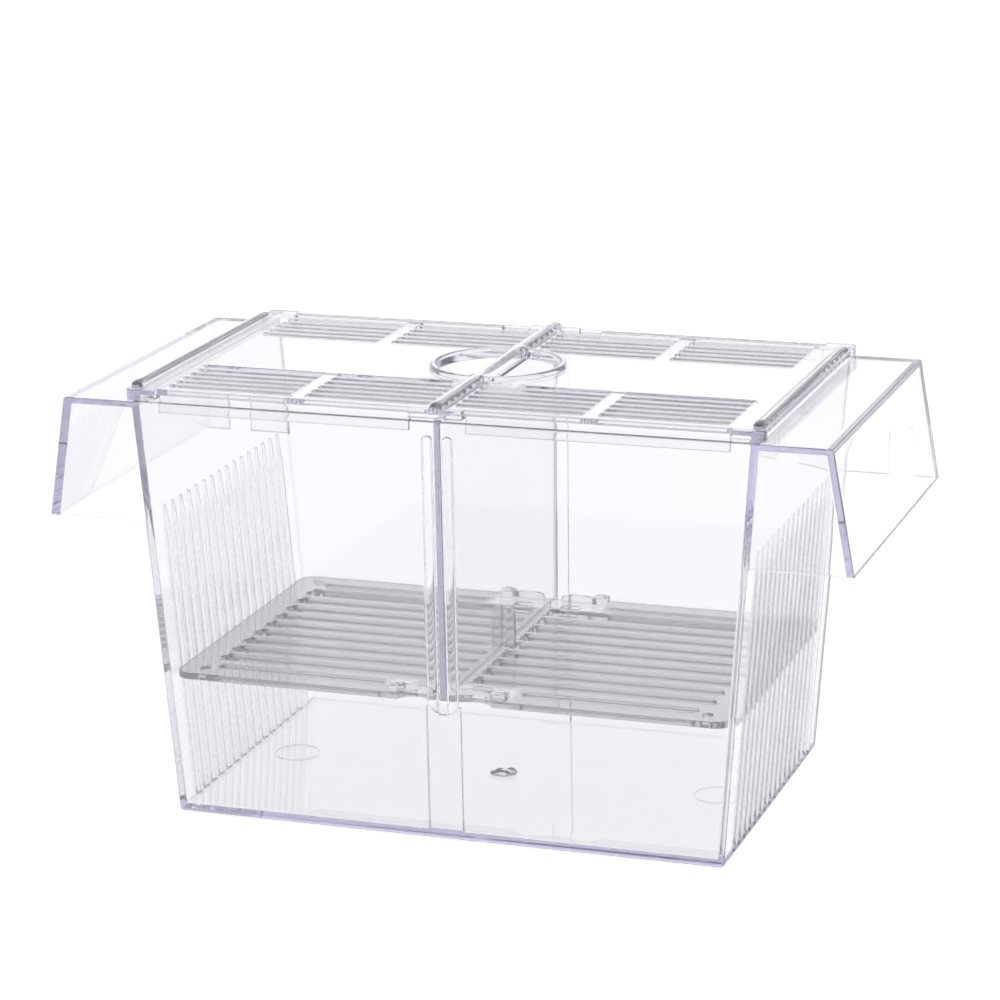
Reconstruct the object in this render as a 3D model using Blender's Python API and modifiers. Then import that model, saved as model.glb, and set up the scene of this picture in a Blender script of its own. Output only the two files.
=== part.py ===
"""Fish breeding box, in metres, +Z up.

A clear moulded tank with a hollow float at each end holds a slotted tray, a
divider plate that slides down between guides, and a slotted lid with a round
feeding hole. The origin is on the table, below the middle of the tank, with
+X along the box and -Y towards its front.
"""

import math

import bmesh
import bpy
from mathutils import Matrix

# Fits
CLEARANCE = 0.0003
OVERRUN = 0.002

# Tank: its walls lean in towards the floor
RIM_LENGTH = 0.200
RIM_DEPTH = 0.120
TANK_HEIGHT = 0.134
END_LEAN = 0.0105
FRONT_LEAN = 0.002
WALL = 0.0022
FLOOR = 0.0025
CORNER_RADIUS = 0.0025
EDGE_RADIUS = 0.0008
INNER_RADIUS = 0.0008
GATE_RADIUS = 0.0037
GATE_HEIGHT = 0.0012

# Floats: a hollow wing at each end of the tank, open below
FLOAT_TOP = 0.0230
FLOAT_FLARE = 0.0065
FLOAT_DROP = 0.0387
FLOAT_WALL = 0.0026
FLOAT_ROOF = 0.0020
FLOAT_STEP = 0.0003
FLOAT_INNER_RADIUS = 0.0012
NOTCH_WIDTH = 0.0079
NOTCH_HEIGHT = 0.0160
NOTCH_RADIUS = 0.0018
NOTCH_INSET = 0.0150

# Slots through the end walls, with pointed tops
END_SLOT_PITCH = 0.0062
END_SLOT_WIDTH = 0.0031
END_SLOT_MARGIN = 0.0070
END_SLOT_TIP_DROP = 0.036
END_SLOT_POINT = 0.0095

# Guides for the divider, and the solid band below them
GUIDE_WIDTH = 0.0033
GUIDE_SLOT = 0.0031
GUIDE_DEPTH = 0.0016
GUIDE_TOP_DROP = 0.005
BAND_WIDTH = 0.0106
BAND_GAP = 0.001
BAND_DIP_WIDTH = 0.0077
BAND_DIP_DEPTH = 0.0024

# Tray: a grille that the leaning end walls stop
TRAY_HEIGHT = 0.044
TRAY_THICKNESS = 0.0021
TRAY_SIDE_GAP = 0.0009
TRAY_CORNER = 0.005
TRAY_SLOT_PITCH = 0.0092
TRAY_SLOT_WIDTH = 0.0038
TRAY_ROW_MARGIN = 0.0075
TRAY_SPINE = 0.0100
TRAY_END_MARGIN = 0.009
TRAY_HOLE_RADIUS = 0.00175
TRAY_HOLE_INSET_X = 0.0081
TRAY_HOLE_INSET_Y = 0.0065
HOLE_LAND = 0.0016
ARCH_CENTRE = 0.0095
ARCH_HALF_WIDTH = 0.0055
ARCH_DEPTH = 0.0038
TONGUE_SETBACK = 0.0028
LUG_X = 0.0172
LUG_SIZE = 0.0048
LUG_RISE = 0.0020
LUG_SETBACK = 0.0005
LUG_LAND = 0.0030
BOSS_RADIUS = 0.0017
BOSS_RISE = 0.0006
EYELET_X = 0.0090
EYELET_Y_SETBACK = 0.0115
EYELET_LENGTH = 0.0045
EYELET_WIDTH = 0.0012
PEG_WIDTH = 0.0033
PEG_DEPTH = 0.0026
PEG_HEIGHT = 0.013
PEG_SHOULDER = 0.0088

# Divider: a plate between the guides
DIVIDER_THICKNESS = 0.0022
DIVIDER_EDGE_GAP = 0.0004
DIVIDER_ROUNDING = 0.0003
FOOT_LENGTH = 0.0026
FOOT_DROP = 0.0012

# Lid: a plate with blocks, skirts, ribs and a collar
LID_LENGTH = 0.204
LID_THICKNESS = 0.0020
LID_LIP_DEPTH = 0.0035
LID_LIP_WIDTH = 0.0045
LID_CORNER = 0.003
BLOCK_DEPTH = 0.0030
CENTRE_BLOCK = 0.0172
END_BLOCK = 0.0104
SKIRT_CLEARANCE = 0.0004
SKIRT_THICKNESS = 0.0014
SKIRT_DROP = 0.0035
SKIRT_END_GAP = 0.0004
SKIRT_CORNER = 0.0013
FEED_RADIUS = 0.0197
COLLAR_WALL = 0.0019
COLLAR_RISE = 0.0015
COLLAR_ROUNDING = 0.0004
RIB_RISE = 0.0020
CENTRE_RIB = 0.0040
END_RIB = 0.0036
END_RIB_SETBACK = 0.0009
END_RIB_FRONT_INSET = 0.0025
END_RIB_REAR_INSET = 0.0085
LID_SLOT_PITCH = 0.0055
LID_SLOT_WIDTH = 0.0029
LID_SLOT_MARGIN = 0.0082
LID_SLOT_START = 0.0045
LID_SLOT_BAR = 0.0050
LID_SLOT_END_MARGIN = 0.0125
LATCH_START = 0.0028
LATCH_END = 0.0170
LATCH_INSET = 0.0034
LATCH_WIDTH = 0.0026

# Facets of the round shapes, and where shading breaks
ARC_STEPS = 4
ROUND_STEPS = 48
BOSS_STEPS = 16
BEVEL_STEPS = 2
SHARP_ANGLE = math.radians(30)

# Surface
CLEAR_COLOUR = (0.90, 0.90, 0.95, 1.0)
TRAY_COLOUR = (0.82, 0.82, 0.85, 1.0)
PLASTIC_ROUGHNESS = 0.05
PLASTIC_IOR = 1.59
PLASTIC_TRANSMISSION = 0.9

FLAT_TO_WALL = {
    "Z": Matrix.Identity(4),
    "Y": Matrix(((1, 0, 0, 0), (0, 0, -1, 0), (0, 1, 0, 0), (0, 0, 0, 1))),
    "X": Matrix(((0, 0, 1, 0), (1, 0, 0, 0), (0, 1, 0, 0), (0, 0, 0, 1))),
}


def lean_share(z):
    """Share of the walls' full lean at height z: 0 at the rim, 1 at the floor."""
    return (TANK_HEIGHT - z) / TANK_HEIGHT


def outer_x(z):
    """Half the tank's outer length at height z."""
    return RIM_LENGTH / 2 - END_LEAN * lean_share(z)


def outer_y(z):
    """Half the tank's outer depth at height z."""
    return RIM_DEPTH / 2 - FRONT_LEAN * lean_share(z)


def inner_x(z):
    return outer_x(z) - WALL


def inner_y(z):
    return outer_y(z) - WALL


def float_x(z):
    """Distance of a float's outer face from the middle at height z."""
    return RIM_LENGTH / 2 + FLOAT_TOP + FLOAT_FLARE * (TANK_HEIGHT - z) / FLOAT_DROP


def clear_scene():
    for obj in list(bpy.data.objects):
        bpy.data.objects.remove(obj, do_unlink=True)


def collection(name):
    group = bpy.data.collections.new(name)
    bpy.context.scene.collection.children.link(group)
    return group


def plastic(name, colour):
    """Clear moulded polystyrene with a polished surface."""
    material = bpy.data.materials.new(name)
    material.use_nodes = True
    shader = material.node_tree.nodes["Principled BSDF"]
    shader.inputs["Base Color"].default_value = colour
    shader.inputs["Metallic"].default_value = 0
    shader.inputs["Roughness"].default_value = PLASTIC_ROUGHNESS
    shader.inputs["IOR"].default_value = PLASTIC_IOR
    shader.inputs["Transmission Weight"].default_value = PLASTIC_TRANSMISSION
    return material


def add_object(name, mesh, group):
    obj = bpy.data.objects.new(name, mesh)
    group.objects.link(obj)
    return obj


def arc(centre_u, centre_v, radius, start, end):
    """Points on a circle from one angle to another, in degrees."""
    points = []
    for step in range(ARC_STEPS + 1):
        angle = math.radians(start + (end - start) * step / ARC_STEPS)
        points.append((centre_u + radius * math.cos(angle), centre_v + radius * math.sin(angle)))
    return points


def racetrack(u0, u1, width):
    """A slot outline along u, centred on v = 0, with half-round ends."""
    radius = width / 2
    return arc(u1 - radius, 0, radius, -90, 90) + arc(u0 + radius, 0, radius, 90, 270)


def extrusion(name, outline, thickness, facing, centre, group):
    """A flat outline made thick along the axis it faces, about its centre.

    The outline's points are (x, y) facing Z, (x, z) facing Y, (y, z) facing X.
    """
    curve = bpy.data.curves.new(name, "CURVE")
    curve.dimensions = "2D"
    curve.fill_mode = "BOTH"
    curve.extrude = thickness / 2
    spline = curve.splines.new("POLY")
    spline.points.add(len(outline) - 1)
    for point, (u, v) in zip(spline.points, outline):
        point.co = (u, v, 0, 1)
    spline.use_cyclic_u = True
    drawn = add_object(name + "_outline", curve, group)
    drawn.matrix_world = Matrix.Translation(centre) @ FLAT_TO_WALL[facing]
    bpy.context.view_layer.update()
    depsgraph = bpy.context.evaluated_depsgraph_get()
    mesh = bpy.data.meshes.new_from_object(drawn.evaluated_get(depsgraph))
    mesh.name = name
    bm = bmesh.new()
    bm.from_mesh(mesh)
    bmesh.ops.remove_doubles(bm, verts=bm.verts, dist=CLEARANCE / 100)
    for side in (-1, 1):
        cap = [face for face in bm.faces if all(vert.co.z * side > 0 for vert in face.verts)]
        bmesh.ops.dissolve_faces(bm, faces=cap)
    bmesh.ops.recalc_face_normals(bm, faces=bm.faces)
    bm.to_mesh(mesh)
    bm.free()
    solid = add_object(name, mesh, group)
    solid.matrix_world = drawn.matrix_world
    bpy.data.objects.remove(drawn, do_unlink=True)
    return solid


def tapered_block(name, z0, z1, span_x, half_y, group):
    """A block whose length and depth at each end follow two functions of z."""
    bm = bmesh.new()
    bmesh.ops.create_cube(bm, size=1)
    for vert in bm.verts:
        z = z1 if vert.co.z > 0 else z0
        x = span_x(z)[1] if vert.co.x > 0 else span_x(z)[0]
        y = half_y(z) if vert.co.y > 0 else -half_y(z)
        vert.co = (x, y, z)
    mesh = bpy.data.meshes.new(name)
    bm.to_mesh(mesh)
    bm.free()
    return add_object(name, mesh, group)


def block(name, low, high, group):
    """An upright block between two opposite corners."""
    bm = bmesh.new()
    bmesh.ops.create_cube(bm, size=1)
    for vert in bm.verts:
        vert.co = [high[i] if vert.co[i] > 0 else low[i] for i in range(3)]
    mesh = bpy.data.meshes.new(name)
    bm.to_mesh(mesh)
    bm.free()
    return add_object(name, mesh, group)


def cylinder(name, centre, radii, z0, z1, steps, group):
    """An upright cylinder; its two radii make it round or oval."""
    bm = bmesh.new()
    bmesh.ops.create_cone(bm, cap_ends=True, segments=steps, radius1=1, radius2=1, depth=1)
    for vert in bm.verts:
        z = z1 if vert.co.z > 0 else z0
        vert.co = (centre[0] + vert.co.x * radii[0], centre[1] + vert.co.y * radii[1], z)
    mesh = bpy.data.meshes.new(name)
    bm.to_mesh(mesh)
    bm.free()
    return add_object(name, mesh, group)


def turned(name, profile, steps, group):
    """A profile of (radius, z) points from top to bottom, turned about Z."""
    mesh = bpy.data.meshes.new(name)
    edges = [(i, i + 1) for i in range(len(profile) - 1)]
    mesh.from_pydata([(radius, 0, z) for radius, z in profile], edges, [])
    obj = add_object(name, mesh, group)
    screw = obj.modifiers.new("turn", "SCREW")
    screw.steps = steps
    screw.render_steps = steps
    screw.use_merge_vertices = True
    screw.merge_threshold = CLEARANCE / 100
    return obj


def lean_in(obj):
    """Push every point towards the middle in y by the wall's lean at its height."""
    to_world = obj.matrix_world.copy()
    to_local = to_world.inverted()
    for vert in obj.data.vertices:
        point = to_world @ vert.co
        point.y -= math.copysign(FRONT_LEAN * lean_share(point.z), point.y)
        vert.co = to_local @ point


def bevel_edges(obj, width, steps):
    bevel = obj.modifiers.new("rounding", "BEVEL")
    bevel.width = width
    bevel.segments = steps
    bevel.limit_method = "ANGLE"
    bevel.angle_limit = SHARP_ANGLE
    return bevel


def repeat(obj, axis, pitch, count):
    array = obj.modifiers.new("row", "ARRAY")
    array.count = count
    array.use_relative_offset = False
    array.use_constant_offset = True
    array.constant_offset_displace = [pitch if i == axis else 0 for i in range(3)]
    return array


def mirror(obj, axes, about):
    """Copies on the other side of the middle planes of the piece it belongs to."""
    copies = obj.modifiers.new("other_side", "MIRROR")
    copies.use_axis = [name in axes for name in "XYZ"]
    copies.use_mirror_merge = False
    copies.mirror_object = about
    return copies


def combine(target, other, operation):
    """Join another shape to the target, or cut it away."""
    other.parent = target
    other.hide_render = True
    other.display_type = "WIRE"
    boolean = target.modifiers.new(other.name, "BOOLEAN")
    boolean.operation = operation
    boolean.solver = "EXACT"
    boolean.object = other


def settle(obj):
    """Keep the finished shape as the object's own mesh, shaded smooth where it is round."""
    bpy.context.view_layer.update()
    depsgraph = bpy.context.evaluated_depsgraph_get()
    mesh = bpy.data.meshes.new_from_object(obj.evaluated_get(depsgraph))
    mesh.name = obj.name
    mesh.shade_smooth()
    mesh.set_sharp_from_angle(angle=SHARP_ANGLE)
    material = obj.data.materials[0] if obj.data.materials else None
    obj.modifiers.clear()
    obj.data = mesh
    mesh.materials.clear()
    if material:
        mesh.materials.append(material)


def tank_outer_shape(parts):
    """Front outline of the tank with both floats, made as thick as the rim is
    deep, with its front and rear faces leaned in."""
    wing_z = TANK_HEIGHT - FLOAT_DROP
    right = [
        (outer_x(0), 0),
        (outer_x(wing_z), wing_z),
        (float_x(wing_z), wing_z),
        (float_x(TANK_HEIGHT), TANK_HEIGHT),
    ]
    left = [(-x, z) for x, z in reversed(right)]
    shape = extrusion("tank", right + left, RIM_DEPTH, "Y", (0, 0, 0), parts)
    shape.data.transform(shape.matrix_world)
    shape.matrix_world = Matrix.Identity(4)
    lean_in(shape)
    bm = bmesh.new()
    bm.from_mesh(shape.data)
    weight = bm.edges.layers.float.new("bevel_weight_edge")
    for edge in bm.edges:
        on_floor = all(vert.co.z < FLOOR for vert in edge.verts)
        if edge.calc_face_angle(0) > SHARP_ANGLE / 2:
            edge[weight] = 1 if on_floor else EDGE_RADIUS / CORNER_RADIUS
    bm.to_mesh(shape.data)
    bm.free()
    bevel = bevel_edges(shape, CORNER_RADIUS, BEVEL_STEPS)
    bevel.limit_method = "WEIGHT"
    return shape


def make_tank(parts, cutters):
    tank = tank_outer_shape(parts)
    above = TANK_HEIGHT + OVERRUN

    cavity = tapered_block(
        "tank_cavity", FLOOR, above, lambda z: (-inner_x(z), inner_x(z)), inner_y, cutters
    )
    bevel_edges(cavity, INNER_RADIUS, BEVEL_STEPS)
    combine(tank, cavity, "DIFFERENCE")

    wing_z = TANK_HEIGHT - FLOAT_DROP
    hollow = tapered_block(
        "float_hollow",
        wing_z - OVERRUN,
        TANK_HEIGHT - FLOAT_ROOF,
        lambda z: (outer_x(z) + FLOAT_STEP, float_x(z) - FLOAT_WALL),
        inner_y,
        cutters,
    )
    bevel_edges(hollow, FLOAT_INNER_RADIUS, BEVEL_STEPS)
    mirror(hollow, "X", tank)
    combine(tank, hollow, "DIFFERENCE")

    combine(tank, notch_cutter(tank, cutters), "DIFFERENCE")
    combine(tank, end_slot_cutter(tank, cutters), "DIFFERENCE")
    combine(tank, guide_ribs(tank, cutters), "UNION")
    combine(tank, guide_band(tank, cutters), "UNION")

    gate_profile = [(0, FLOOR + GATE_HEIGHT)]
    gate_profile += [(GATE_RADIUS / 2, FLOOR + GATE_HEIGHT), (GATE_RADIUS, FLOOR)]
    gate_profile += [(GATE_RADIUS, FLOOR / 2), (0, FLOOR / 2)]
    combine(tank, turned("gate_mark", gate_profile, BOSS_STEPS, cutters), "UNION")
    return tank


def notch_cutter(tank, cutters):
    """An upside-down U through the rear panel of each float, open below."""
    wing_z = TANK_HEIGHT - FLOAT_DROP
    centre = RIM_LENGTH / 2 + NOTCH_INSET
    low = wing_z - OVERRUN
    top = wing_z + NOTCH_HEIGHT
    left = centre - NOTCH_WIDTH / 2
    right = centre + NOTCH_WIDTH / 2
    outline = [(left, low), (right, low)]
    outline += arc(right - NOTCH_RADIUS, top - NOTCH_RADIUS, NOTCH_RADIUS, 0, 90)
    outline += arc(left + NOTCH_RADIUS, top - NOTCH_RADIUS, NOTCH_RADIUS, 90, 180)
    reach = WALL + 2 * OVERRUN
    notch = extrusion(
        "float_notch", outline, reach, "Y", (0, inner_y(wing_z) + WALL / 2, 0), cutters
    )
    mirror(notch, "X", tank)
    return notch


def end_slot_cutter(tank, cutters):
    """A row of upright blades with pointed tops through each end wall."""
    foot = FLOOR + INNER_RADIUS
    tip = TANK_HEIGHT - END_SLOT_TIP_DROP
    half = END_SLOT_WIDTH / 2
    span = 2 * (inner_y(0) - END_SLOT_MARGIN)
    count = int(span / END_SLOT_PITCH) + 1
    first = -END_SLOT_PITCH * (count - 1) / 2
    outline = [(first - half, foot), (first + half, foot)]
    outline += [(first + half, tip - END_SLOT_POINT), (first, tip)]
    outline += [(first - half, tip - END_SLOT_POINT)]
    inside = inner_x(foot) - OVERRUN
    outside = outer_x(tip) + OVERRUN
    blade = extrusion(
        "end_slots", outline, outside - inside, "X", ((inside + outside) / 2, 0, 0), cutters
    )
    blade.data.transform(blade.matrix_world)
    blade.matrix_world = Matrix.Identity(4)
    repeat(blade, 1, END_SLOT_PITCH, count)
    mirror(blade, "X", tank)
    return blade


def guide_ribs(tank, cutters):
    """Two ribs with half-round tops inside the front and rear walls."""
    left = GUIDE_SLOT / 2
    radius = GUIDE_WIDTH / 2
    foot = TRAY_HEIGHT - BAND_GAP - BAND_DIP_DEPTH
    top = TANK_HEIGHT - GUIDE_TOP_DROP - radius
    outline = [(left, foot), (left + GUIDE_WIDTH, foot)]
    outline += arc(left + radius, top, radius, 0, 180)
    face = inner_y(TANK_HEIGHT) - GUIDE_DEPTH
    back = inner_y(TANK_HEIGHT) + WALL / 2
    rib = extrusion("guide_ribs", outline, back - face, "Y", (0, -(face + back) / 2, 0), cutters)
    bpy.context.view_layer.update()
    lean_in(rib)
    mirror(rib, "XY", tank)
    return rib


def guide_band(tank, cutters):
    """The solid band below the guides, with a dip in its top edge."""
    half = BAND_WIDTH / 2
    dip = BAND_DIP_WIDTH / 2
    top = TRAY_HEIGHT - BAND_GAP
    bottom_of_dip = top - BAND_DIP_DEPTH
    outline = [(-half, FLOOR / 2), (half, FLOOR / 2), (half, top), (dip, top)]
    outline += [(dip - BAND_DIP_DEPTH / 2, bottom_of_dip), (-dip + BAND_DIP_DEPTH / 2, bottom_of_dip)]
    outline += [(-dip, top), (-half, top)]
    face = inner_y(TANK_HEIGHT) - GUIDE_DEPTH - CLEARANCE / 2
    back = inner_y(TANK_HEIGHT) + WALL / 2
    band = extrusion("guide_band", outline, back - face, "Y", (0, -(face + back) / 2, 0), cutters)
    bpy.context.view_layer.update()
    lean_in(band)
    mirror(band, "Y", tank)
    return band


def make_tray(parts, cutters):
    """The tray's own origin is the middle of its underside."""
    half_x = inner_x(TRAY_HEIGHT) - CLEARANCE
    half_y = inner_y(TRAY_HEIGHT) - TRAY_SIDE_GAP
    near_x = half_x - TRAY_CORNER
    near_y = half_y - TRAY_CORNER
    outline = arc(near_x, near_y, TRAY_CORNER, 0, 90) + arc(-near_x, near_y, TRAY_CORNER, 90, 180)
    outline += arc(-near_x, -near_y, TRAY_CORNER, 180, 270)
    outline += arc(near_x, -near_y, TRAY_CORNER, 270, 360)
    tray = extrusion("tray", outline, TRAY_THICKNESS, "Z", (0, 0, TRAY_THICKNESS / 2), parts)
    tray.data.transform(tray.matrix_world)
    tray.matrix_world = Matrix.Identity(4)
    low = -OVERRUN
    high = TRAY_THICKNESS + OVERRUN
    middle = TRAY_THICKNESS / 2
    through = high - low

    lug_y = half_y - LUG_SETBACK - LUG_SIZE / 2
    lug = block(
        "tray_lugs",
        (LUG_X - LUG_SIZE / 2, lug_y - LUG_SIZE / 2, middle),
        (LUG_X + LUG_SIZE / 2, lug_y + LUG_SIZE / 2, TRAY_THICKNESS + LUG_RISE),
        cutters,
    )
    mirror(lug, "XY", tray)
    combine(tray, lug, "UNION")
    boss_top = TRAY_THICKNESS + LUG_RISE + BOSS_RISE
    boss = cylinder(
        "tray_bosses", (LUG_X, lug_y), (BOSS_RADIUS, BOSS_RADIUS), middle, boss_top, BOSS_STEPS, cutters
    )
    mirror(boss, "XY", tray)
    combine(tray, boss, "UNION")

    arch = cylinder(
        "tray_arches", (ARCH_CENTRE, half_y), (ARCH_HALF_WIDTH, ARCH_DEPTH), low, high, BOSS_STEPS, cutters
    )
    mirror(arch, "XY", tray)
    combine(tray, arch, "DIFFERENCE")
    recess = block(
        "tray_recess",
        (-ARCH_CENTRE, half_y - TONGUE_SETBACK, low),
        (ARCH_CENTRE, half_y + OVERRUN, high),
        cutters,
    )
    mirror(recess, "Y", tray)
    combine(tray, recess, "DIFFERENCE")

    rows = int((half_y - TRAY_ROW_MARGIN) / TRAY_SLOT_PITCH)
    slot_end = half_x - TRAY_END_MARGIN
    slot = extrusion(
        "tray_slots",
        racetrack(TRAY_SPINE / 2, slot_end, TRAY_SLOT_WIDTH),
        through,
        "Z",
        (0, -(rows - 1) * TRAY_SLOT_PITCH, middle),
        cutters,
    )
    slot.data.transform(slot.matrix_world)
    slot.matrix_world = Matrix.Identity(4)
    repeat(slot, 1, TRAY_SLOT_PITCH, 2 * rows - 1)
    mirror(slot, "X", tray)
    combine(tray, slot, "DIFFERENCE")

    hole_x = half_x - TRAY_HOLE_INSET_X
    hole_y = half_y - TRAY_HOLE_INSET_Y
    edge_slot = extrusion(
        "tray_edge_slots",
        racetrack(LUG_X + LUG_SIZE / 2 + LUG_LAND, hole_x - TRAY_HOLE_RADIUS - HOLE_LAND, TRAY_SLOT_WIDTH),
        through,
        "Z",
        (0, rows * TRAY_SLOT_PITCH, middle),
        cutters,
    )
    edge_slot.data.transform(edge_slot.matrix_world)
    edge_slot.matrix_world = Matrix.Identity(4)
    mirror(edge_slot, "XY", tray)
    combine(tray, edge_slot, "DIFFERENCE")
    hole = cylinder(
        "tray_holes", (hole_x, hole_y), (TRAY_HOLE_RADIUS, TRAY_HOLE_RADIUS), low, high, BOSS_STEPS, cutters
    )
    mirror(hole, "XY", tray)
    combine(tray, hole, "DIFFERENCE")
    eyelet = extrusion(
        "tray_eyelets",
        racetrack(EYELET_X - EYELET_LENGTH / 2, EYELET_X + EYELET_LENGTH / 2, EYELET_WIDTH),
        through,
        "Z",
        (0, half_y - EYELET_Y_SETBACK, middle),
        cutters,
    )
    eyelet.data.transform(eyelet.matrix_world)
    eyelet.matrix_world = Matrix.Identity(4)
    mirror(eyelet, "XY", tray)
    combine(tray, eyelet, "DIFFERENCE")

    inside = DIVIDER_THICKNESS / 2 + CLEARANCE
    outside = inside + PEG_WIDTH
    peg_top = TRAY_THICKNESS + PEG_HEIGHT
    peg_outline = [(inside, middle), (outside, middle), (outside, TRAY_THICKNESS + PEG_SHOULDER)]
    peg_outline += [(inside + PEG_WIDTH / 2, peg_top), (inside, peg_top)]
    peg = extrusion("tray_pegs", peg_outline, PEG_DEPTH, "Y", (0, 0, 0), cutters)
    mirror(peg, "X", tray)
    combine(tray, peg, "UNION")
    tray.location = (0, 0, TRAY_HEIGHT)
    return tray


def make_divider(parts):
    """The divider's own origin is the middle of its bottom edge."""
    base = TRAY_HEIGHT + TRAY_THICKNESS + CLEARANCE
    top = lid_base() + LID_LIP_DEPTH - BLOCK_DEPTH - CLEARANCE
    foot = base - CLEARANCE - FOOT_DROP
    edge = [inner_y(z) - DIVIDER_EDGE_GAP for z in (foot, top)]
    foot_inside = edge[0] - FOOT_LENGTH
    right = [(foot_inside, 0), (foot_inside, foot - base), (edge[0], foot - base), (edge[1], top - base)]
    left = [(-y, z) for y, z in reversed(right)]
    divider = extrusion("divider", right + left, DIVIDER_THICKNESS, "X", (0, 0, 0), parts)
    divider.data.transform(divider.matrix_world)
    divider.matrix_world = Matrix.Identity(4)
    bevel_edges(divider, DIVIDER_ROUNDING, 1)
    divider.location = (0, 0, base)
    return divider


def lid_base():
    """Height of the underside of the lid's end lips."""
    return TANK_HEIGHT + CLEARANCE


def lid_plan():
    """Plan outline: a rectangle with round corners, set back between the blocks."""
    half_x = LID_LENGTH / 2
    half_y = RIM_DEPTH / 2
    skirt_y = inner_y(TANK_HEIGHT) - SKIRT_CLEARANCE
    end_block_x = half_x - END_BLOCK
    block_x = CENTRE_BLOCK / 2
    front = arc(-half_x + LID_CORNER, -half_y + LID_CORNER, LID_CORNER, 180, 270)
    front += [(-end_block_x, -half_y), (-end_block_x, -skirt_y), (-block_x, -skirt_y)]
    front += [(-block_x, -half_y), (block_x, -half_y), (block_x, -skirt_y)]
    front += [(end_block_x, -skirt_y), (end_block_x, -half_y)]
    front += arc(half_x - LID_CORNER, -half_y + LID_CORNER, LID_CORNER, 270, 360)
    return front + [(-x, -y) for x, y in front]


def make_lid(parts, cutters):
    """The lid's own origin is the middle of the plane that its end lips rest on."""
    half_x = LID_LENGTH / 2
    half_y = RIM_DEPTH / 2
    top = LID_LIP_DEPTH
    underside = top - LID_THICKNESS
    inside_plate = top - LID_THICKNESS / 2
    skirt_y = inner_y(TANK_HEIGHT) - SKIRT_CLEARANCE
    skirt_back = skirt_y - SKIRT_THICKNESS
    skirt_bottom = -CLEARANCE - SKIRT_DROP
    wide_x = half_x + OVERRUN
    wide_y = half_y + OVERRUN

    lid = block("lid", (-wide_x, -wide_y, underside), (wide_x, wide_y, top), parts)
    lip = block(
        "lid_lips", (half_x - LID_LIP_WIDTH, -wide_y, 0), (wide_x, wide_y, inside_plate), cutters
    )
    mirror(lip, "X", lid)
    combine(lid, lip, "UNION")
    blocks = {
        "lid_centre_blocks": (-CENTRE_BLOCK / 2, CENTRE_BLOCK / 2),
        "lid_end_blocks": (half_x - END_BLOCK, wide_x),
    }
    for name, (x0, x1) in blocks.items():
        low_corner = (x0, skirt_back, top - BLOCK_DEPTH)
        piece = block(name, low_corner, (x1, wide_y, inside_plate), cutters)
        mirror(piece, "Y" if x0 < 0 else "XY", lid)
        combine(lid, piece, "UNION")

    x0 = CENTRE_BLOCK / 2 + SKIRT_END_GAP
    x1 = half_x - END_BLOCK - SKIRT_END_GAP
    skirt_outline = [(x1, inside_plate), (x0, inside_plate)]
    skirt_outline += arc(x0 + SKIRT_CORNER, skirt_bottom + SKIRT_CORNER, SKIRT_CORNER, 180, 270)
    skirt_outline += arc(x1 - SKIRT_CORNER, skirt_bottom + SKIRT_CORNER, SKIRT_CORNER, 270, 360)
    reach = wide_y - skirt_back
    skirt = extrusion(
        "lid_skirts", skirt_outline, reach, "Y", (0, (skirt_back + wide_y) / 2, 0), cutters
    )
    mirror(skirt, "XY", lid)
    combine(lid, skirt, "UNION")

    height = top - skirt_bottom + 2 * OVERRUN
    plan = extrusion(
        "lid_plan", lid_plan(), height, "Z", (0, 0, (top + skirt_bottom) / 2), cutters
    )
    combine(lid, plan, "INTERSECT")

    outer = FEED_RADIUS + COLLAR_WALL
    collar_top = top + COLLAR_RISE
    collar_profile = [(0, collar_top), (outer - COLLAR_ROUNDING, collar_top)]
    collar_profile += [(outer, collar_top - COLLAR_ROUNDING), (outer, inside_plate), (0, inside_plate)]
    combine(lid, turned("lid_collar", collar_profile, ROUND_STEPS, cutters), "UNION")
    feed_hole = cylinder(
        "feed_hole", (0, 0), (FEED_RADIUS, FEED_RADIUS), -OVERRUN, collar_top + OVERRUN, ROUND_STEPS, cutters
    )
    combine(lid, feed_hole, "DIFFERENCE")

    rib_top = top + RIB_RISE
    centre_rib = block(
        "lid_centre_rib",
        (-CENTRE_RIB / 2, -half_y + EDGE_RADIUS, underside + EDGE_RADIUS / 2),
        (CENTRE_RIB / 2, half_y - EDGE_RADIUS, rib_top),
        cutters,
    )
    combine(lid, centre_rib, "UNION")
    rib_front = -half_y + END_RIB_FRONT_INSET
    rib_rear = half_y - END_RIB_REAR_INSET
    end_rib_x = half_x - END_RIB_SETBACK - END_RIB / 2
    end_rib = extrusion(
        "lid_end_ribs",
        [(end_rib_x - v, u) for u, v in racetrack(rib_front, rib_rear, END_RIB)],
        rib_top - inside_plate,
        "Z",
        (0, 0, (rib_top + inside_plate) / 2),
        cutters,
    )
    mirror(end_rib, "X", lid)
    combine(lid, end_rib, "UNION")

    combine(lid, lid_slot_cutter(lid, underside, top, cutters), "DIFFERENCE")
    latch = block(
        "lid_latch_openings",
        (LATCH_START, skirt_y - LATCH_INSET, underside - OVERRUN),
        (LATCH_END, skirt_y - LATCH_INSET + LATCH_WIDTH, top + OVERRUN),
        cutters,
    )
    mirror(latch, "X", lid)
    combine(lid, latch, "DIFFERENCE")
    lid.location = (0, 0, lid_base())
    return lid


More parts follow.
